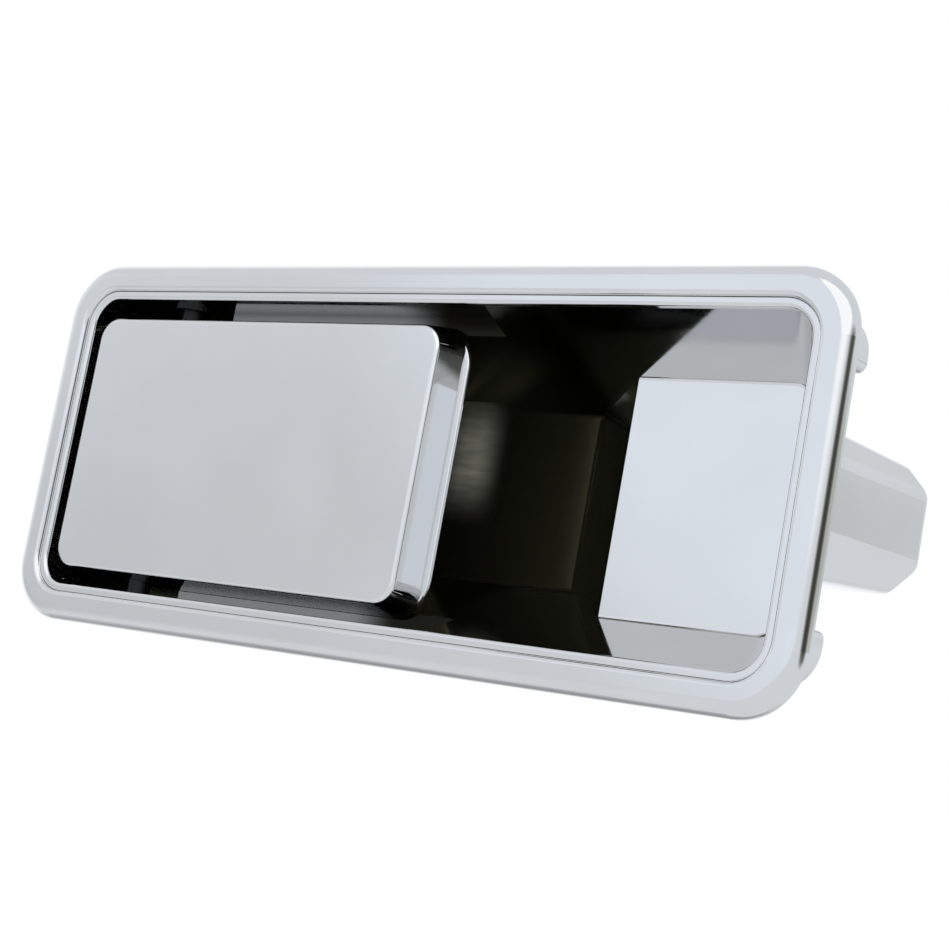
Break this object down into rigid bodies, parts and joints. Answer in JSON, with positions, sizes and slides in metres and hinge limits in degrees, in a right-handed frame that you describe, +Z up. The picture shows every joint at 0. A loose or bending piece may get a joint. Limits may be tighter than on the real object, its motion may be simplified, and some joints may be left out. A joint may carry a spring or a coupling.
{
  "type": "car interior door handle",
  "caption": "Flush chromed door handle: a rounded rectangular frame with a sprung pull paddle on the left, a finger cup on the right and two threaded mounting posts behind.",
  "frame": {"origin": "midway between the two fixing holes, on the plane of the mounting posts' ends", "axes": "+X along the handle from the paddle's hinge end to the finger cup, +Y into the door, +Z up"},
  "size_m": [0.162, 0.038, 0.066],
  "materials": {
    "bright_chrome": "polished",
    "black_moulding": "satin",
    "black_rubber": "matt",
    "plated_steel": "satin",
    "black_steel": "blackened",
    "spring_steel": "satin",
    "clip_plastic": "satin",
    "insert_brass": "machined"
  },
  "bodies": {
    "frame": {"bezel": "bright_chrome", "bezel_seal": "black_rubber", "housing": "bright_chrome", "bezel_screws": "plated_steel", "mount_insert_left": "insert_brass", "mount_insert_right": "insert_brass", "hinge_pin": "black_steel", "hinge_clip": "black_steel", "return_spring": "spring_steel", "rest_bumper_upper": "black_rubber", "rest_bumper_lower": "black_rubber"},
    "paddle": {"paddle_cover": "bright_chrome", "paddle_carrier": "black_moulding", "cover_screws": "black_steel", "hinge_bush_upper": "black_moulding", "hinge_bush_lower": "black_moulding", "rod_clip": "clip_plastic"}
  },
  "joints": [
    {"name": "paddle_pull", "type": "hinge", "parent": "frame", "child": "paddle", "pos_m": [-0.056, -0.0305, 0], "axis": [0, 0, -1], "range_deg": [0, 25], "stiffness_Nm_per_rad": 0.3, "springref_deg": -28.65, "deforming": ["return_spring"]}
  ]
}
